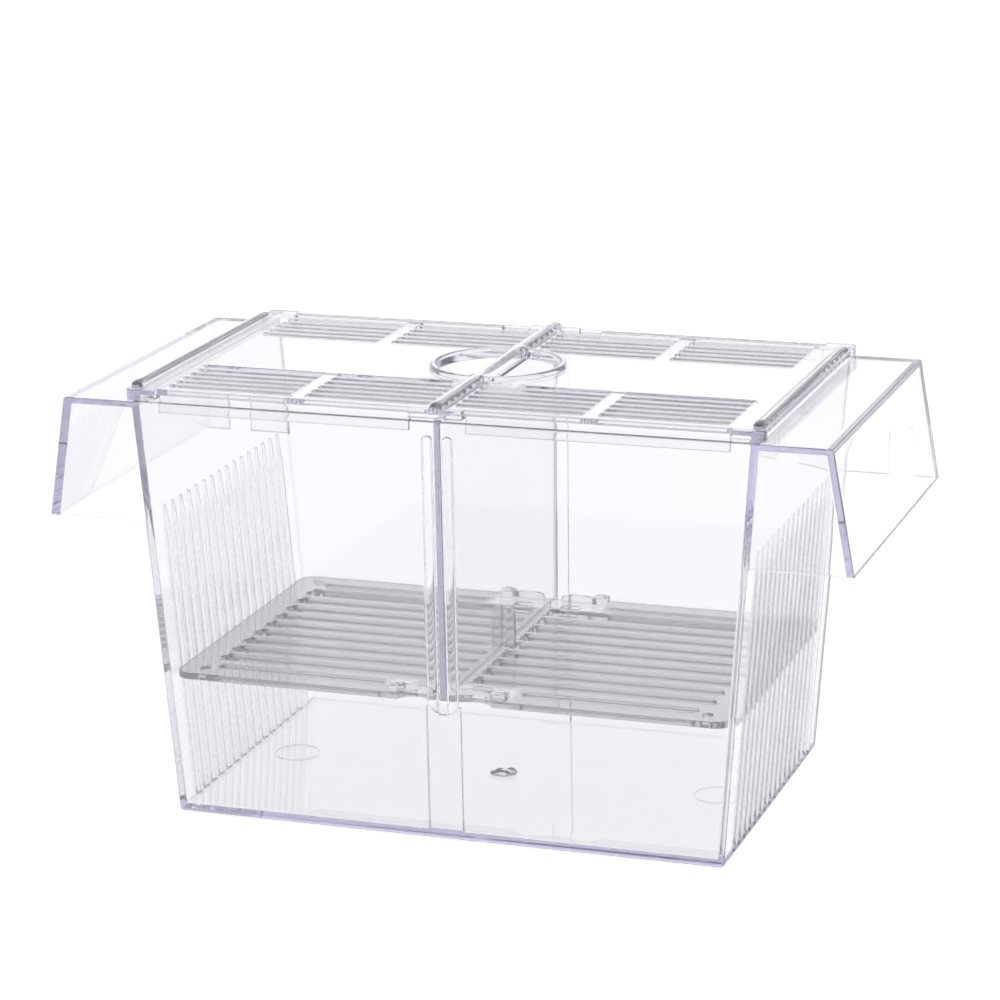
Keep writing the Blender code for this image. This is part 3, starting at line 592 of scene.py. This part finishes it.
rib_turns = np.radians((-90, -66, -42, -14, 14, 42, 66, 90))
rib_lines = sum(RIB_SIDES) / 2 + (RIB_SIDES[1] - RIB_SIDES[0]) / 2 * np.sin(rib_turns)
notch_lines = NOTCH_RADIUS * (1 - np.cos(np.radians((0, 30, 60, 90))))
wall_ys = (BAND_FACE, RIB_FACE, TANK_INSIDE[1], TANK_OUTSIDE[1])
tank_xs = np.concatenate(
    (
        (0, BAND_SIDE),
        rib_lines,
        NOTCH_SIDES[0] + notch_lines,
        NOTCH_SIDES[1] - notch_lines,
        (TANK_INSIDE[0], TANK_OUTSIDE[0]),
        FLOAT_SIDES,
    )
)
tank_ys = np.concatenate(
    ((0, GATE_RING, GATE_RADIUS), wall_ys, SLOT_CENTRES - SLOT_HALF, SLOT_CENTRES + SLOT_HALF)
)
low_zs = (0, SLOT_FOOT, FLOOR_TOP, GATE_FOOT, BAND_DIP, BAND_TOP, SLOT_TAPER)
high_zs = (WING_FOOT, SLOT_TIP, NOTCH_TOP, RIB_TOP, WING_ROOF, TANK_HEIGHT)
tank = moulded_cells(
    "tank_moulding",
    mirrored(tank_xs),
    mirrored(tank_ys),
    np.array(low_zs + high_zs),
    tank_plastic,
    tank_place,
)
rounded_edges(tank, tank_radius, steps=3)
# Painted shade over the slotted end walls, mixed into the tank's plastic.
painted_shade_on_slotted_ends = (("X", 0.0866, 0.0870), ("Y", 0.0500, 0.0484), ("Z", 0.0985, 0.0880))
tank_clear = pin_marked(clear, centre=(0.072, 0), radius=0.0074)
tank.data.materials.append(painted_shade_where(tank_clear, SLOTTED_PAINTED_SHADE, painted_shade_on_slotted_ends))
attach(tank, "tank")
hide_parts("tank")

# Tray. A flat grille moulded in smoke grey polystyrene that rests where the
# leaning end walls stop it, with painted shade darkening its grille further. Its bars
# are crowned, a spine runs across under the divider, and round-cornered cut-outs,
# lugs and pegs sit by the divider's ends.

TRAY_FOOT = 0.044
TRAY_THICKNESS = 0.0021
TRAY_HALF = (0.090448, 0.055557)
TRAY_CORNER = 0.005
BAR_PITCH = 0.0092
BAR_GAP = 0.0019
SPINE_SIDE = 0.0034
PEG_ROW_START = 0.0061
SLOT_REACH = 0.081448
EDGE_SLOT = (0.0226, 0.078648)
HOLE_PLACE = (0.082348, 0.04905)
HOLE_RADIUS = 0.00175
LUG_PLACE = (0.0172, 0.052657)
LUG_HALF = 0.0024
BOSS_RADIUS = 0.0017
EYELET_X = (0.0061, 0.0121)
EYELET_Y = (0.0429, 0.0460)
EDGE_ROW = 5
SLOT_END = 0.0028
SLOT_END_SHARE = 0.6
CROWN_REACH = 0.0415
HOLE_SURROUND = 0.0027
CUT_MIDDLE = 0.0095
CUT_HALF = 0.0055
CUT_DEPTH = 0.0038
CUT_BETWEEN = 0.0028
PRESSED_FROM = 0.050
PEG_X = (0.0014, 0.0047)
PEG_HALF = 0.0013
LUG_TOP = 0.0041
BOSS_TOP = 0.0047
PEG_TOP = 0.0151
PEG_SHOULDER = 0.0109
CROWN = 0.00045
CROWN_LINES = (-0.0015, 0, 0.0015)
BAR_ROUND = 0.00028
DIVIDER_FITTINGS = (0.021, 0.049)
RIM_X = (0.0039, 0.0148)
RIM_FROM = 0.0530
RIM_SILL = 0.0003
RIM_RISE = 0.0022
# Painted shade: the darker base colour laid over the tray's grille.
GRILLE_PAINTED_SHADE = (0.64, 0.64, 0.655, 1)

smoky_with_painted_shade = clear_plastic(
    "tray_polystyrene",
    colour=(0.95, 0.95, 0.96, 1),
    clearness=0.93,
    cast=(0.86, 0.86, 0.88, 1),
    density=22,
    roughness=0.01,
    wave=0.05,
)
# Zones of painted shade: the grille's sides and middle, below the lugs' height.
painted_shade_grille_sides = (("X", 0.0195, 0.0210), ("Z", 0.0469, 0.0464))
painted_shade_grille_middle = (("Y", 0.0428, 0.0418), ("Z", 0.0469, 0.0464))
smoky_with_painted_shade = painted_shade_where(smoky_with_painted_shade, GRILLE_PAINTED_SHADE, painted_shade_grille_sides, painted_shade_grille_middle)


def corner_drawn_round(x, y, half_x, half_y, radius):
    """Plan corners of a plate: inside each corner's square the larger offset from
    the corner's centre becomes the distance from it."""
    dx = np.abs(x) - (half_x - radius)
    dy = np.abs(y) - (half_y - radius)
    inside = (dx > 0) & (dy > 0)
    c = np.maximum(dx, dy)
    scale = np.where(inside, c / np.maximum(np.hypot(dx, dy), 1e-9), 1)
    new_x = np.where(inside, np.sign(x) * (half_x - radius + dx * scale), x)
    new_y = np.where(inside, np.sign(y) * (half_y - radius + dy * scale), y)
    return new_x, new_y


def tray_plastic(x, y, z):
    """Plate less its slots, corner holes and eyelets, with a lug and a boss by each
    end of the divider, a rim over each cut-out and the pegs in the middle."""
    ax, ay = np.abs(x), np.abs(y)
    row = np.round(ay / BAR_PITCH)
    in_row = np.abs(ay - row * BAR_PITCH) < BAR_GAP
    start = np.where(row == 0, PEG_ROW_START, SPINE_SIDE)
    slots = in_row & (row < EDGE_ROW) & (ax > start) & (ax < SLOT_REACH)
    edge_slots = in_row & (row == EDGE_ROW) & (ax > EDGE_SLOT[0]) & (ax < EDGE_SLOT[1])
    slots = slots | edge_slots
    hole_x, hole_y = np.abs(ax - HOLE_PLACE[0]), np.abs(ay - HOLE_PLACE[1])
    hole = (hole_x < HOLE_RADIUS) & (hole_y < HOLE_RADIUS)
    eyelet = (ax > EYELET_X[0]) & (ax < EYELET_X[1])
    eyelet = eyelet & (ay > EYELET_Y[0]) & (ay < EYELET_Y[1])
    plate = (z < TRAY_THICKNESS) & ~slots & ~hole & ~eyelet
    off_x, off_y = np.abs(ax - LUG_PLACE[0]), np.abs(ay - LUG_PLACE[1])
    lug = (off_x < LUG_HALF) & (off_y < LUG_HALF) & (z < LUG_TOP)
    boss = (off_x < BOSS_RADIUS) & (off_y < BOSS_RADIUS) & (z < BOSS_TOP)
    peg = (ax > PEG_X[0]) & (ax < PEG_X[1]) & (ay < PEG_HALF)
    rim = (ax > RIM_X[0]) & (ax < RIM_X[1]) & (ay > RIM_FROM) & (z < LUG_TOP)
    return plate | lug | boss | peg | rim


def tray_place(x, y, z):
    """Bars crowned by a square law, slot ends half oval, corners, holes and bosses
    drawn round, and the long edges cut back in the middle by two half ovals, each
    under a rim whose top is a half oval as well."""
    ax, ay = np.abs(x), np.abs(y)
    row = np.round(ay / BAR_PITCH)
    d = ay - row * BAR_PITCH
    bar_half = BAR_PITCH / 2 - BAR_GAP
    from_bar = np.minimum(BAR_PITCH / 2 - np.abs(d), bar_half)
    on_bars = np.isclose(z, TRAY_THICKNESS) & (ay < CROWN_REACH)
    on_bars = on_bars & (ax > SPINE_SIDE + NEAR) & (ax < SLOT_REACH - NEAR)
    z = z - np.where(on_bars, CROWN * (from_bar / bar_half) ** 2, 0)
    z = np.where(np.isclose(z, PEG_TOP) & np.isclose(ax, PEG_X[1]), PEG_SHOULDER, z)
    from_middle = (ax - sum(RIM_X) / 2) / (RIM_X[1] - RIM_X[0]) * 2
    rim_arch = np.sqrt(np.maximum(1 - from_middle**2, 0))
    on_rim = np.isclose(z, LUG_TOP) & (ay > RIM_FROM)
    on_rim = on_rim & (ax > RIM_X[0] - NEAR) & (ax < RIM_X[1] - NEAR)
    z = np.where(on_rim, TRAY_THICKNESS + RIM_SILL + RIM_RISE * rim_arch, z)
    draw_in = SLOT_END_SHARE * (BAR_GAP - np.sqrt(np.maximum(BAR_GAP**2 - d**2, 0)))
    in_slot = (np.abs(d) < BAR_GAP + HAIR) & (z < TRAY_THICKNESS + HAIR)
    start = np.where(row == 0, PEG_ROW_START, SPINE_SIDE)
    from_start = (ax - np.where(row < EDGE_ROW, start, EDGE_SLOT[0])) / SLOT_END
    to_end = (np.where(row < EDGE_ROW, SLOT_REACH, EDGE_SLOT[1]) - ax) / SLOT_END
    opened = np.where((from_start > -NEAR) & (from_start < 1), 1 - from_start, 0)
    closed = np.where((to_end > -NEAR) & (to_end < 1), 1 - to_end, 0)
    ax = ax + np.where(in_slot & (row <= EDGE_ROW), draw_in * (opened - closed), 0)
    rounds = (HOLE_PLACE, HOLE_RADIUS, HOLE_SURROUND), (LUG_PLACE, BOSS_RADIUS, LUG_HALF)
    for centre, radius, reach in rounds:
        ax, ay = drawn_round(ax, ay, centre, (radius, radius), reach)
    off_cut = (ax - CUT_MIDDLE) / CUT_HALF
    cut = CUT_DEPTH * np.sqrt(np.maximum(1 - off_cut**2, 0))
    cut = np.where(ax < CUT_MIDDLE, np.maximum(cut, CUT_BETWEEN), cut)
    room = TRAY_HALF[1] - PRESSED_FROM
    pressed = PRESSED_FROM + (ay - PRESSED_FROM) * (room - cut) / room
    ay = np.where(ay > PRESSED_FROM, pressed, ay)
    x, y = np.sign(x) * ax, np.sign(y) * ay
    x, y = corner_drawn_round(x, y, *TRAY_HALF, TRAY_CORNER)
    return x, y, z + TRAY_FOOT


def tray_radius(x, y, z):
    """Bars are rounded along their length, and next to nothing is rounded on upright
    edges, at the corner holes and by the divider's ends."""
    ax, ay = np.abs(x), np.abs(y)
    radius = np.full(x.shape, BAR_ROUND)
    upright = np.abs(z - TRAY_FOOT - TRAY_THICKNESS / 2) < 2 * NEAR
    hole_x, hole_y = np.abs(ax - HOLE_PLACE[0]), np.abs(ay - HOLE_PLACE[1])
    by_hole = np.maximum(hole_x, hole_y) < HOLE_SURROUND - NEAR
    by_divider = (ax < DIVIDER_FITTINGS[0]) & (ay > DIVIDER_FITTINGS[1])
    radius[upright | by_hole | by_divider] = SHARP_ROUND
    return radius


rows = BAR_PITCH * np.arange(EDGE_ROW + 1)
row_lines = rows[:, None] + np.array((-BAR_GAP, -PEG_HALF, 0, PEG_HALF, BAR_GAP))
bar_lines = rows[:EDGE_ROW, None] + BAR_PITCH / 2 + np.array(CROWN_LINES)
round_lines = np.array((-1, -0.45, 0, 0.45, 1))
corner_lines = TRAY_CORNER * (1 - np.array((1, 0.62, 0.29, 0.08, 0)))
cut_lines = (0.0039, 0.0053, 0.0070, 0.0080, CUT_MIDDLE, 0.0108, 0.0130, 0.0139)
tray_xs = np.concatenate(
    (
        (0, sum(PEG_X) / 2, SPINE_SIDE),
        (PEG_ROW_START, SLOT_REACH - SLOT_END, SLOT_REACH),
        PEG_X,
        EYELET_X,
        EDGE_SLOT,
        cut_lines,
        HOLE_PLACE[0] + HOLE_RADIUS * round_lines,
        LUG_PLACE[0] + BOSS_RADIUS * round_lines,
        (LUG_PLACE[0] - LUG_HALF, LUG_PLACE[0] + LUG_HALF),
        TRAY_HALF[0] - corner_lines,
    )
)
tray_ys = np.concatenate(
    (
        np.abs(row_lines.ravel()),
        bar_lines.ravel(),
        EYELET_Y,
        HOLE_PLACE[1] + HOLE_RADIUS * round_lines,
        LUG_PLACE[1] + BOSS_RADIUS * round_lines,
        (LUG_PLACE[1] - LUG_HALF, LUG_PLACE[1] + LUG_HALF),
        TRAY_HALF[1] - corner_lines,
    )
)
tray = moulded_cells(
    "tray_moulding",
    mirrored(tray_xs),
    mirrored(tray_ys),
    np.array((0, TRAY_THICKNESS, LUG_TOP, BOSS_TOP, PEG_TOP)),
    tray_plastic,
    tray_place,
)
rounded_edges(tray, tray_radius, steps=2)
tray.data.materials.append(smoky_with_painted_shade)
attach(tray, "tray")
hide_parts("tray")

# Divider. One thin clear plate that slides down between the guide ribs and
# parts the tank in two. Its ends follow the leaning walls, with a small foot
# below each that drops into the cut-outs of the tray.

DIVIDER_BASE = 0.0464
DIVIDER_TOP = 0.1345
DIVIDER_FOOT = 0.0449
DIVIDER_HALF = 0.0011
DIVIDER_END = 0.0574
FOOT_START = 0.0548
DIVIDER_ROUND = 0.0003


def divider_plastic(x, y, z):
    """The whole height above the base line, and under it only the two feet."""
    return (z > DIVIDER_BASE) | (np.abs(y) > FOOT_START)


def divider_place(x, y, z):
    """Its ends keep the same running gap to the walls, so they lean as they do."""
    ends = np.abs(y) > FOOT_START - HAIR
    return x, np.where(ends, y - np.sign(y) * FRONT_LEAN * fall(z), y), z


def divider_radius(x, y, z):
    return np.full(x.shape, DIVIDER_ROUND)


divider = moulded_cells(
    "divider_plate",
    np.array((-DIVIDER_HALF, DIVIDER_HALF)),
    mirrored((FOOT_START, DIVIDER_END)),
    np.array((DIVIDER_FOOT, DIVIDER_BASE, DIVIDER_TOP)),
    divider_plastic,
    divider_place,
)
rounded_edges(divider, divider_radius, steps=3)
divider.data.materials.append(clear)
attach(divider, "divider")
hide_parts("divider")

# Lid. One flat plate in clear polystyrene, loose on the tank. Blocks and skirts
# along its front and rear edges drop inside the rim, raised ribs stiffen its
# middle and ends, and a round collar rings the feeding hole.

LID_BASE = 0.1343
SKIRT_FOOT = -0.0038
LIP_FOOT = 0.0
BLOCK_FOOT = 0.0005
PLATE_FOOT = 0.0015
PLATE_TOP = 0.0035
COLLAR_TOP = 0.0050
RIB_CREST = 0.0055
LID_HALF_LENGTH = 0.102
LID_HALF_DEPTH = 0.060
LID_SETBACK = 0.0574
LID_CORNER = 0.003
CENTRE_BLOCK_SIDE = 0.0086
END_BLOCK_SIDE = 0.0916
SKIRT_SIDES = (0.0090, 0.0912)
SKIRT_BACK = 0.0560
FEED_RADIUS = 0.0197
COLLAR_RADIUS = 0.0216
INNER_SLOTS = (0.0045, 0.0445)
OUTER_SLOTS = (0.0495, 0.0895)
SLOT_ROW_INSIDE = 0.02285
SLOT_ROW_PITCH = 0.0055
SLOT_WIDTH = 0.0029
SLOT_ROWS = 6
OPENING_X = (0.0028, 0.0170)
OPENING_Y = (0.0540, 0.0566)
CENTRE_RIB_HALF = 0.0020
END_RIB_SIDES = (0.0975, 0.1011)
END_RIB_MIDDLE = 0.0993
END_RIB_HALF = 0.0018
END_RIB = (-0.0574, 0.0515)
END_RIB_TURN = 0.004
RIB_SLOPE = 0.003
LOWEST_SHARE = 0.05
BEAD_SHOULDER = 0.45
CENTRE_PART = 0.01
COLLAR_BAND = (0.0190, 0.0222)
COLLAR_ZONE = 0.03
LID_ROUND = 0.00018
RIB_ROUND = 0.00015
COLLAR_ROUND = 0.0005
# Painted shade: a darker base colour for the lid's slotted bar fields.
LID_PAINTED_SHADE = (0.82, 0.82, 0.83, 1)


def lid_plastic(x, y, z):
    """Plate, end lips, blocks, skirts and collar less the hole, the slots and the
    two openings at the rear edge, with the ribs across them."""
    ax, ay = np.abs(x), np.abs(y)
    low = z < PLATE_TOP
    block = (ax < CENTRE_BLOCK_SIDE) | (ax > END_BLOCK_SIDE)
    plate = low & (z > PLATE_FOOT) & ((ay < LID_SETBACK) | block)
    lip = low & (z > LIP_FOOT) & (ax > END_RIB_SIDES[0])
    thick = low & (z > BLOCK_FOOT) & block & (ay > SKIRT_BACK)
    skirt = low & (ax > SKIRT_SIDES[0]) & (ax < SKIRT_SIDES[1])
    skirt = skirt & (ay > SKIRT_BACK) & (ay < LID_SETBACK)
    c = np.maximum(ax, ay)
    collar = (c < COLLAR_RADIUS) & (z > PLATE_TOP) & (z < COLLAR_TOP)
    row = np.floor((ay - SLOT_ROW_INSIDE) / SLOT_ROW_PITCH)
    in_row = ay - SLOT_ROW_INSIDE - row * SLOT_ROW_PITCH < SLOT_WIDTH
    in_row = in_row & (row >= 0) & (row < SLOT_ROWS)
    inner = (ax > INNER_SLOTS[0]) & (ax < INNER_SLOTS[1])
    outer = (ax > OUTER_SLOTS[0]) & (ax < OUTER_SLOTS[1])
    slots = in_row & (inner | outer) & low & (z > LIP_FOOT)
    opening = (ax > OPENING_X[0]) & (ax < OPENING_X[1])
    opening = opening & (y > OPENING_Y[0]) & (y < OPENING_Y[1])
    centre_rib = (ax < CENTRE_RIB_HALF) & (z > PLATE_FOOT) & (z < RIB_CREST)
    end_rib = (ax > END_RIB_SIDES[0]) & (ax < END_RIB_SIDES[1]) & (z > PLATE_TOP)
    end_rib = end_rib & (y > END_RIB[0]) & (y < END_RIB[1])
    cut_away = (c < FEED_RADIUS) | slots | opening
    body = (plate | lip | thick | skirt | collar) & ~cut_away
    return body | centre_rib | end_rib


def lid_place(x, y, z):
    """Collar and feeding hole drawn round, the plate's corners too, and each end
    rib's ends half round: y falls back by r less the root of r squared less d squared.
    All ribs are half-oval beads whose ends slope down as a quarter round."""
    x, y = drawn_round(x, y, (0, 0), (FEED_RADIUS, COLLAR_RADIUS), SLOT_ROW_INSIDE)
    d = np.abs(x) - END_RIB_MIDDLE
    on_rib = (np.abs(d) < END_RIB_HALF + HAIR) & (z > PLATE_TOP - NEAR)
    back = END_RIB_HALF - np.sqrt(np.maximum(END_RIB_HALF**2 - d**2, 0))
    from_front = (y - END_RIB[0]) / END_RIB_TURN
    from_rear = (END_RIB[1] - y) / END_RIB_TURN
    front_end = on_rib & (from_front > -NEAR) & (from_front < 1)
    rear_end = on_rib & (from_rear > -NEAR) & (from_rear < 1)
    y = np.where(front_end, y + back * (1 - from_front), y)
    y = np.where(rear_end, y - back * (1 - from_rear), y)
    ax, ay = np.abs(x), np.abs(y)
    central = ax < CENTRE_PART
    off = np.where(central, ax / CENTRE_RIB_HALF, d / END_RIB_HALF)
    past_end = np.minimum(y - END_RIB[0], END_RIB[1] - y)
    past_end = np.where(central, LID_HALF_DEPTH - ay, past_end)
    share = np.clip(past_end / RIB_SLOPE, LOWEST_SHARE, 1)
    arch = np.sqrt(np.maximum(1 - off**2, 0))
    bead = BEAD_SHOULDER + (1 - BEAD_SHOULDER) * arch
    bead = bead * np.sqrt(1 - (1 - share) ** 2)
    by_collar = central & (ay > COLLAR_BAND[0]) & (ay < COLLAR_BAND[1])
    on_bead = (z > PLATE_TOP + NEAR) & (np.abs(off) < 1 + NEAR) & ~by_collar
    z = np.where(on_bead, PLATE_TOP + (z - PLATE_TOP) * bead, z)
    x, y = corner_drawn_round(x, y, LID_HALF_LENGTH, LID_HALF_DEPTH, LID_CORNER)
    return x, y, z + LID_BASE


def lid_radius(x, y, z):
    """Ribs and plate keep fine edges, and the collar's rim is the roundest."""
    radius = np.full(x.shape, LID_ROUND)
    raised = z > LID_BASE + PLATE_TOP + NEAR
    radius[raised] = RIB_ROUND
    by_collar = (np.abs(x) > 2 * CENTRE_RIB_HALF) & (np.abs(x) < COLLAR_ZONE)
    radius[raised & by_collar] = COLLAR_ROUND
    return radius


lid_rows = SLOT_ROW_INSIDE + SLOT_ROW_PITCH * np.arange(SLOT_ROWS)
round_xs = (0.0010, 0.0016, 0.0116, 0.0152, FEED_RADIUS, COLLAR_RADIUS, SLOT_ROW_INSIDE)
round_ys = (0.0026, 0.0053, 0.0082, 0.0114, 0.0152, FEED_RADIUS, COLLAR_RADIUS)
block_xs = (CENTRE_BLOCK_SIDE, END_BLOCK_SIDE)
rib_xs = (0, CENTRE_RIB_HALF, 0.0980, END_RIB_MIDDLE, 0.1006)
edge_ys = (SKIRT_BACK, LID_SETBACK, 0.0582, 0.0591, LID_HALF_DEPTH)
lid_xs = np.concatenate(
    (
        rib_xs,
        END_RIB_SIDES,
        OPENING_X,
        INNER_SLOTS,
        OUTER_SLOTS,
        SKIRT_SIDES,
        block_xs,
        round_xs,
        (LID_HALF_LENGTH,),
    )
)
lid_ys = mirrored(np.concatenate(((0,), round_ys, lid_rows, lid_rows + SLOT_WIDTH, edge_ys)))
rear_ys = (END_RIB[1], *OPENING_Y)
lid_zs = (SKIRT_FOOT, LIP_FOOT, BLOCK_FOOT, PLATE_FOOT, PLATE_TOP, COLLAR_TOP, RIB_CREST)
lid = moulded_cells(
    "lid_moulding",
    mirrored(lid_xs),
    np.unique(np.round(np.concatenate((lid_ys, rear_ys)), 7)),
    np.array(lid_zs),
    lid_plastic,
    lid_place,
)
rounded_edges(lid, lid_radius, steps=2)
lid_clear = clear.copy()
lid_clear.name = "clear_polystyrene_lid"
# Painted shade over the two slotted bar fields on each side of the lid.
painted_shade_bar_rows = (("Y", 0.0226, 0.0230), ("Y", 0.0536, 0.0532))
painted_shade_inner_bars = (("X", 0.0040, 0.0046), ("X", 0.0450, 0.0444), *painted_shade_bar_rows)
painted_shade_outer_bars = (("X", 0.0490, 0.0496), ("X", 0.0900, 0.0894), *painted_shade_bar_rows)
lid.data.materials.append(painted_shade_where(lid_clear, LID_PAINTED_SHADE, painted_shade_inner_bars, painted_shade_outer_bars))
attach(lid, "lid")
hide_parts("lid")
